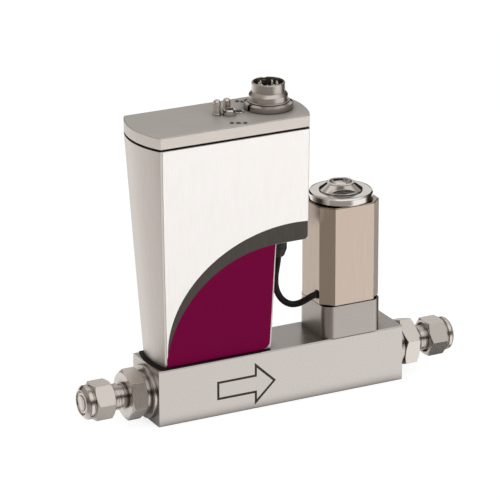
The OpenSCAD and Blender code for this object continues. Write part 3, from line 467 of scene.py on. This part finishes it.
# %% Turned finishes
fitting_steel = turned_metal("fitting_steel", (0.71, 0.665, 0.62), (0.81, 0.77, 0.725), 0.24,
                             "X", (0, 0, port_z))
disc_steel = turned_metal("disc_steel", (0.82, 0.79, 0.76), (0.90, 0.87, 0.85), 0.11,
                          "Z", (valve_x, 0, 0))
plug_steel = turned_metal("plug_steel", (0.66, 0.615, 0.565), (0.76, 0.715, 0.67), 0.30,
                          "Z", (plug_x, 0, 0))
ring_steel = turned_metal("ring_steel", (0.43, 0.395, 0.37), (0.54, 0.505, 0.475), 0.11,
                          "Z", (plug_x, 0, 0))
rod_steel = turned_metal("rod_steel", (0.74, 0.70, 0.67), (0.84, 0.80, 0.77), 0.15,
                         "Z", (rod_x, rod_y, 0))
print("finishes so far:", len(bpy.data.materials))

# %% [markdown]
# ## Plastics and rubber
# Moulded black parts are never quite black, and their shine is broken up by a fine grain.
# A plain dark colour would look like a hole. So the colour, the roughness and the height
# all follow one fine noise. The same recipe does for oxidised screws, thin gold and paint.

# %% Plastics and rubber
GRAIN_DEPTH = 0.00001


def moulded(name, dark, light, roughness, scale=900.0, **sockets):
    """Colour, roughness and height are ramps of one fine noise."""
    finish, tree, shader = new_finish(name, **sockets)
    grain = add(tree, "TexNoise", {"Vector": place(tree), "Scale": scale, "Detail": 3.0}).outputs[0]
    tree.links.new(tint(tree, grain, dark, light), shader.inputs["Base Color"])
    tree.links.new(spread(tree, grain, roughness - 0.06, roughness + 0.08),
                   shader.inputs["Roughness"])
    lift = add(tree, "Bump", {"Height": grain, "Distance": GRAIN_DEPTH, "Strength": 0.6})
    tree.links.new(lift.outputs[0], shader.inputs["Normal"])
    return finish


black_rubber = moulded("seal_rubber", (0.004, 0.003, 0.003), (0.010, 0.008, 0.007), 0.5,
                       Specular_IOR_Level=0.2)
black_plastic = moulded("black_plastic", (0.008, 0.007, 0.007), (0.02, 0.018, 0.017), 0.34)
cable_sheath = moulded("cable_sheath", (0.004, 0.003, 0.003), (0.009, 0.007, 0.007), 0.34,
                       Specular_IOR_Level=0.25)
pale_plastic = moulded("pale_plastic", (0.70, 0.67, 0.58), (0.78, 0.75, 0.67), 0.42)
lamp_plastic = moulded("lamp_plastic", (0.01, 0.012, 0.01), (0.03, 0.035, 0.03), 0.2)
dark_screw = moulded("dark_screw", (0.10, 0.10, 0.10), (0.16, 0.16, 0.16), 0.35, Metallic=1.0)
pin_gold = moulded("pin_gold", (0.86, 0.80, 0.68), (0.94, 0.89, 0.79), 0.3, Metallic=0.35)
arrow_ink = moulded("arrow_ink", (0.012, 0.010, 0.009), (0.03, 0.026, 0.024), 0.6)
lens_dark = moulded("lens_dark", (0.012, 0.012, 0.014), (0.02, 0.02, 0.022), 0.12, scale=300.0)
print("finishes so far:", len(bpy.data.materials))

# %% [markdown]
# ## Boards and windings
# Green lacquer covers the copper tracks of a board, and enamelled wire lies in turns on a
# coil. Tracks and wires could be modelled one by one, but they are inside the housing. A
# brick pattern stands for the rows of tracks, and a sine wave up the coil for the wire.

# %% Board lacquer
def board_green():
    """Brick pattern in the plane of x and y + z, with mortar as the lighter tracks."""
    finish, tree, shader = new_finish("board_lacquer", Roughness=0.35)
    split = add(tree, "SeparateXYZ", {0: place(tree)}).outputs
    plane = add(tree, "CombineXYZ", {0: split["X"], 1: plus(tree, split["Z"], split["Y"])}).outputs[0]
    tracks = add(tree, "TexBrick", {"Vector": plane, "Scale": 260.0, "Mortar Size": 0.035,
                                    "Color1": (0.008, 0.085, 0.035, 1),
                                    "Color2": (0.010, 0.105, 0.045, 1),
                                    "Mortar": (0.03, 0.20, 0.09, 1)})
    tree.links.new(tracks.outputs[0], shader.inputs["Base Color"])
    lift = add(tree, "Bump", {"Height": tracks.outputs[1], "Distance": 0.00002, "Strength": 0.5})
    tree.links.new(lift.outputs[0], shader.inputs["Normal"])
    return finish


board_lacquer = board_green()
print(board_lacquer.name, "ready")

# %% Wound copper
def wound_copper():
    """Enamelled wire in layers: a sine wave up the coil, one period per turn."""
    finish, tree, shader = new_finish("wound_copper", Metallic=0.9, Roughness=0.32)
    turns = add(tree, "TexWave", {"Vector": place(tree), "Scale": 700.0, "Distortion": 0.3},
                bands_direction="Z")
    tree.links.new(tint(tree, turns.outputs[1], (0.28, 0.09, 0.03), (0.72, 0.33, 0.14), 0.1, 0.8),
                   shader.inputs["Base Color"])
    lift = add(tree, "Bump", {"Height": turns.outputs[1], "Distance": 0.00008, "Strength": 0.8})
    tree.links.new(lift.outputs[0], shader.inputs["Normal"])
    return finish


coil_copper = wound_copper()
print(coil_copper.name, "ready")

# %% [markdown]
# ## Printed front label
# The label is a thin plate on the leaning front face, printed in three fields: white, a
# dark band, and a deep red corner. The fields could be separate inlays, but a print has no
# thickness. The band lies between an ellipse and a circle, so each field is a length
# compared with 1, and its edge stays sharp at any size.

# %% Fields of the print
BAND_TOP = ((0.00535, 0.03719), (0.06619, 0.05584))      # centre x, z and radii x, z, m
BAND_BOTTOM = ((-0.00424, 0.02605), (0.05724, 0.05724))


def inside(tree, centre, radii):
    """1 where the length of ((x, z) - centre) / radii is under 1, else 0."""
    scale = (1 / radii[0], 0, 1 / radii[1])
    move = (-centre[0] / radii[0], 0, -centre[1] / radii[1])
    far = add(tree, "VectorMath", {0: shift_scale(tree, place(tree), scale, move)},
              operation="LENGTH").outputs["Value"]
    return add(tree, "Math", {0: far, 1: 1.0}, operation="LESS_THAN").outputs[0]


def blend_colour(tree, factor, first, second):
    """First colour where factor is 0, second where it is 1."""
    return add(tree, "Mix", {0: factor, 6: first, 7: second}, data_type="RGBA").outputs[2]


print("band is", round((BAND_TOP[0][1] + BAND_TOP[1][1] - BAND_BOTTOM[0][1] - BAND_BOTTOM[1][1])
                       * MM_PER_M, 2), "mm high at its crest")

# %% Label print
def label_finish():
    """Red inside the lower curve, dark between the curves, white outside; all faintly brushed."""
    finish, tree, shader = new_finish("label_print", Specular_IOR_Level=0.06)
    brush = add(tree, "TexNoise", {"Vector": shift_scale(tree, place(tree), (1400, 1400, 22)),
                                   "Scale": 1.0, "Detail": 3.0}).outputs[0]
    paper = tint(tree, brush, (0.87, 0.855, 0.85), (0.905, 0.89, 0.885))
    band = tint(tree, brush, (0.062, 0.056, 0.050), (0.074, 0.067, 0.060))
    wine = tint(tree, brush, (0.142, 0.0004, 0.036), (0.154, 0.0006, 0.041))
    upper_fields = blend_colour(tree, inside(tree, *BAND_TOP), paper, band)
    print_colour = blend_colour(tree, inside(tree, *BAND_BOTTOM), upper_fields, wine)
    tree.links.new(print_colour, shader.inputs["Base Color"])
    tree.links.new(spread(tree, brush, 0.5, 0.58), shader.inputs["Roughness"])
    lift = add(tree, "Bump", {"Height": brush, "Distance": 0.000003, "Strength": 0.6})
    tree.links.new(lift.outputs[0], shader.inputs["Normal"])
    return finish


label_print = label_finish()
print(label_print.name, "ready")

# %% [markdown]
# ## From a grid of points to a mesh
# The new pieces are all tubes of some kind: rings of points, one after the other. Curves
# with a bevel or a screw modifier could make them too, but then the shape hides in
# settings. Here each shape is one array, and this function turns any such array into a
# closed mesh that rides on the controller.

# %% Grid to mesh
SHARP_ANGLE = 40  # degrees


def grid_piece(name, grid, finish, loop_rows=False):
    """grid is (rows, columns, 3) in metres, columns closed in a ring. Rows close too, or get caps."""
    rows, cols = grid.shape[:2]
    index = np.arange(rows * cols).reshape(rows, cols)
    upper = np.roll(index, -1, axis=0) if loop_rows else index[1:]
    lower = index if loop_rows else index[:-1]
    quads = np.stack([lower, np.roll(lower, -1, axis=1), np.roll(upper, -1, axis=1), upper], axis=-1)
    faces = quads.reshape(-1, 4).tolist()
    if not loop_rows:
        faces += [index[0, ::-1].tolist(), index[-1].tolist()]
    mesh = bpy.data.meshes.new(name)
    mesh.from_pydata(grid.reshape(-1, 3).tolist(), [], faces)
    mesh.shade_smooth()
    mesh.set_sharp_from_angle(angle=math.radians(SHARP_ANGLE))
    mesh.materials.append(finish)
    made = bpy.data.objects.new(name, mesh)
    bpy.context.scene.collection.objects.link(made)
    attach(made, "controller")
    print(name, len(mesh.polygons), "faces")
    return made


# %% [markdown]
# ## Valve cable
# A short black cable leaves the gland under the overhang, hangs in a bow and enters the
# coil cover. Both ends are held, so it can't swing, and its route is a list of given points.
# A simulated cord would sag to a shape of its own. A smooth curve goes through
# the points, and a ring of constant radius is carried along it.

# %% Path and tube
def smooth_path(points, steps):
    """Catmull-Rom curve: each stretch is a cubic whose end slopes are half the step across."""
    p = np.asarray(points, float)
    p = np.vstack([p[0], p, p[-1]])
    a, b, c, d = (p[i:len(p) - 3 + i, None, :] for i in range(4))
    t = (np.arange(steps) / steps)[None, :, None]
    curve = 0.5 * (2 * b + (c - a) * t + (2 * a - 5 * b + 4 * c - d) * t**2
                   + (3 * b - a - 3 * c + d) * t**3)
    return np.vstack([curve.reshape(-1, 3), p[-1]])


def tube_grid(path, radius, sides):
    """Ring points: path + r (cos a n + sin a m), where n and m are square to the path."""
    never_along_path = (-0.3, 0.8, 0.5)
    along = np.gradient(path, axis=0)
    along /= np.linalg.norm(along, axis=1, keepdims=True)
    n = np.cross(along, never_along_path)
    n /= np.linalg.norm(n, axis=1, keepdims=True)
    m = np.cross(along, n)
    a = np.linspace(0, 2 * np.pi, sides, endpoint=False)[None, :, None]
    return path[:, None] + radius * (np.cos(a) * n[:, None] + np.sin(a) * m[:, None])


print("path and tube ready")

# %% Valve cable
CABLE_RADIUS = 0.0016  # m
cable_route = [  # mm, from inside the housing down to the coil cover
    (5, 2, 99), (5, 0, 99), (5, -2.2, 98), (5, -2.6, 95), (5, -1.2, 91.5), (5, 0, 88),
    (5, 0, 80), (5, 0, 72), (4.6, 0, 68), (3.9, 0, 64), (3.4, 0, 60), (3.5, 0, 56),
    (4.4, -0.1, 52.4), (6.2, -0.3, 49), (8.8, -0.7, 46.4), (11.6, -1.8, 45.3),
    (14.4, -3.2, 45.7), (17.2, -4.9, 47.4), (19.8, -6.1, 49.2), (22.6, -6.5, 50),
    (26.2, -6.5, 50),
]
cable_path = smooth_path(np.array(cable_route) / MM_PER_M, steps=10)
valve_cable = grid_piece("valve_cable_smooth", tube_grid(cable_path, CABLE_RADIUS, sides=24),
                         cable_sheath)
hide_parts("valve_cable")
print("cable", round(float(np.linalg.norm(np.diff(cable_path, axis=0), axis=1).sum()), 4), "m")

# %% [markdown]
# ## Threads
# The plug's shell, the two posts and the necks behind the union nuts are threaded. A real
# thread is cut along a helix. Sweeping a triangle along a helix leaves open ends. A sleeve
# whose radius is a triangle wave of height over pitch minus the turn closes on itself
# after one turn, and it fades out at both ends, as a cut thread does.

# %% Thread sleeve
ROWS_PER_PITCH = 8
LEAST_ROWS = 12


def thread_grid(inner, outer, start, end, pitch, depth, around):
    """Radius = outer - depth * wave(height / pitch - turn), with an inner wall to close it (mm)."""
    count = max(int((end - start) / pitch * ROWS_PER_PITCH), LEAST_ROWS)
    h = np.linspace(start, end, count)[:, None]
    turn = np.linspace(0, 1, around, endpoint=False)[None, :]
    wave = np.abs(2 * ((h / pitch - turn) % 1) - 1)
    fade = np.clip(np.minimum(h - start, end - h) / pitch, 0, 1)
    wall = outer - depth * np.clip(1.25 * wave - 0.12, 0, 1) * fade
    inner_wall = np.full((2, around), inner)
    radius = np.vstack([wall, inner_wall])
    height = np.vstack([np.broadcast_to(h, wall.shape), np.full((1, around), end),
                        np.full((1, around), start)])
    a = 2 * np.pi * turn
    return np.stack([radius * np.cos(a), radius * np.sin(a), height], axis=-1)


def stand_at(grid, x, y):
    """Moves an upright sleeve (mm) to an axis at x, y (m)."""
    return grid / MM_PER_M + np.array([x, y, 0])


def lie_along(grid, side):
    """Turns an upright sleeve so that its height runs along x, towards one side."""
    h, c, s = grid[..., 2], grid[..., 0], grid[..., 1]
    return np.stack([side * h, side * c, s + port_z * MM_PER_M], axis=-1) / MM_PER_M


print("sleeves ready")

# %% Make the threads
POSTS = ((-27.3, 0.6, 152.9), (-19.7, 5.4, 151.3))  # x, y and top of each post, mm
SIDES = ((-1, "inlet"), (1, "outlet"))

shell_sleeve = thread_grid(inner=7.8, outer=8.03, start=155.4, end=159.3, pitch=0.75, depth=0.09,
                           around=96)
plug_thread = grid_piece("plug_thread", stand_at(shell_sleeve, plug_x, 0), plug_steel)
for number, (post_x, post_y, top) in enumerate(POSTS, 1):
    sleeve = thread_grid(inner=1.6, outer=1.8, start=147.9, end=top, pitch=0.5, depth=0.14, around=32)
    grid_piece(f"post_thread_{number}", stand_at(sleeve, post_x / MM_PER_M, post_y / MM_PER_M),
               rod_steel)
neck_sleeve = thread_grid(inner=6.1, outer=6.4, start=82.2, end=86.25, pitch=0.8, depth=0.28,
                          around=64)
for side, end_name in SIDES:
    grid_piece(f"neck_thread_{end_name}", lie_along(neck_sleeve, side), fitting_steel)

# %% [markdown]
# ## Port plugs
# A controller is delivered with a turned plug in each port, which keeps dust out and is
# pulled before a pipe goes in. It could be stacked from discs, but a lathe cuts it in one
# pass, so it is one profile turned about the port axis: a stem in the bore, a flat rim, a
# groove, and a raised centre to grip.

# %% Turn the plugs
def turned_grid(profile, around=64):
    """Point = (r cos a, r sin a, h) for each (r, h) of the profile and each angle a."""
    r, h = np.array(profile, float).T
    a = np.linspace(0, 2 * np.pi, around, endpoint=False)
    return np.stack([r[:, None] * np.cos(a), r[:, None] * np.sin(a),
                     np.broadcast_to(h[:, None], (len(r), around))], axis=-1)


port_plug_profile = [  # radius and distance from the middle of the block, mm
    (4.2, 97.6), (4.6, 98.0), (4.6, 99.3), (5.2, 99.95), (5.2, 100.2), (5.05, 100.35),
    (4.05, 100.35), (3.9, 100.15), (3.7, 100.15), (3.6, 100.65), (3.35, 100.8),
]
for side, end_name in SIDES:
    port_plug = grid_piece(f"port_plug_{end_name}", lie_along(turned_grid(port_plug_profile), side),
                           fitting_steel)

# %% [markdown]
# ## Flow arrow
# The arrow is cut into the block and filled with black paint, which is wiped off and stays
# a little past the cut. A painted pattern on the block would be soft at its corners. The
# paint is a flat band between two outlines of the same arrow, one inset.

# %% Fill the arrow
PAINT_SPILL, CUT_WIDTH = 0.25, 0.85  # mm
PAINT_FRONT, PAINT_BACK = -14.28, -14.1
ARROW_TAIL, ARROW_NECK, ARROW_TIP = -35.3, -15.0, -4.1
ARROW_HEIGHT, SHAFT_HALF, HEAD_HALF = 13.0, 4.5, 10.3
TIP_STRETCH, BARB_STRETCH = 1.45, 2.4  # a sharp corner moves further than its sides


def arrow_outline(inset):
    """Seven corners in x, z (mm): each side of the arrow moves in by the inset."""
    tail, neck = ARROW_TAIL + inset, ARROW_NECK + inset
    tip = ARROW_TIP - TIP_STRETCH * inset
    shaft, barb = SHAFT_HALF - inset, HEAD_HALF - BARB_STRETCH * inset
    lower_half = [(tail, -shaft), (neck, -shaft), (neck, -barb)]
    upper_half = [(neck, barb), (neck, shaft), (tail, shaft)]
    return np.array(lower_half + [(tip, 0)] + upper_half) + np.array([0, ARROW_HEIGHT])


def band_ring(outer, inner, front, back):
    """Four rings of corners, outer front, inner front, inner back and outer back, in metres."""
    rings = [(outer, front), (inner, front), (inner, back), (outer, back)]
    return np.stack([np.column_stack([line[:, 0], np.full(len(line), y), line[:, 1]])
                     for line, y in rings]) / MM_PER_M


arrow_band = band_ring(arrow_outline(-PAINT_SPILL), arrow_outline(CUT_WIDTH), PAINT_FRONT, PAINT_BACK)
arrow_paint = grid_piece("arrow_paint", arrow_band, arrow_ink, loop_rows=True)
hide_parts("flow_arrow")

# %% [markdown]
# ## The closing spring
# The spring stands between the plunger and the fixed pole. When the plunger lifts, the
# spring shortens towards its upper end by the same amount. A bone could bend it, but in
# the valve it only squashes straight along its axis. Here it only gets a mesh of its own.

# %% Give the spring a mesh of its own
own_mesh(parts["plunger_spring"])

# %% [markdown]
# ## Dress the CAD parts
# Each part takes one finish. A finish for each part would be more to keep in step, and a
# part's own shape already tells what it is, so all parts that come from the same bar,
# casting or mould share one.

# %% Which part has which finish
parts_of = {
    block_steel: "base_block",
    base_steel: "valve_base",
    cover_nickel: "coil_cover",
    housing_steel: "housing",
    lid_steel: "lid",
    label_print: "front_label",
    arrow_ink: "flow_arrow",
    lens_dark: "lens",
    plug_steel: "connector_shell",
    ring_steel: "connector_nut",
    pin_gold: "connector_pins",
    disc_steel: "lens_bezel cap_disc cap_nut pole_piece",
    rod_steel: "tie_rod earth_nut earth_posts",
    fitting_steel: ("flow_splitter inlet_filter inlet_adapter outlet_adapter port_seals inlet_nut "
                    "outlet_nut front_ferrules back_ferrules orifice_seat plunger core_tube"),
    inner_alloy: "sensor_base sensor_cover capillary_tube board_bracket plunger_spring",
    dark_screw: "sensor_screws board_screws valve_base_screws",
    board_lacquer: "main_board panel_board",
    coil_copper: "sensor_windings coil_winding",
    pale_plastic: "board_headers",
    lamp_plastic: "panel_lamps",
    black_rubber: ("housing_gasket lid_gasket sensor_seals valve_seal valve_grommet "
                   "plunger_pad"),
    black_plastic: ("board_parts panel_switch switch_button connector_insert cable_gland "
                    "gland_cap gland_locknut coil_bobbin"),
    cable_sheath: "valve_cable",
}
finish_of = {name: finish for finish, names in parts_of.items() for name in names.split()}
print(len(finish_of), "nodes have a finish;", set(parts) - set(finish_of), "left")

# %% Dress them
for name, part in parts.items():
    for material_place in part.material_slots:
        material_place.material = finish_of[name]
print(len(parts), "nodes dressed in", len(parts_of), "finishes")
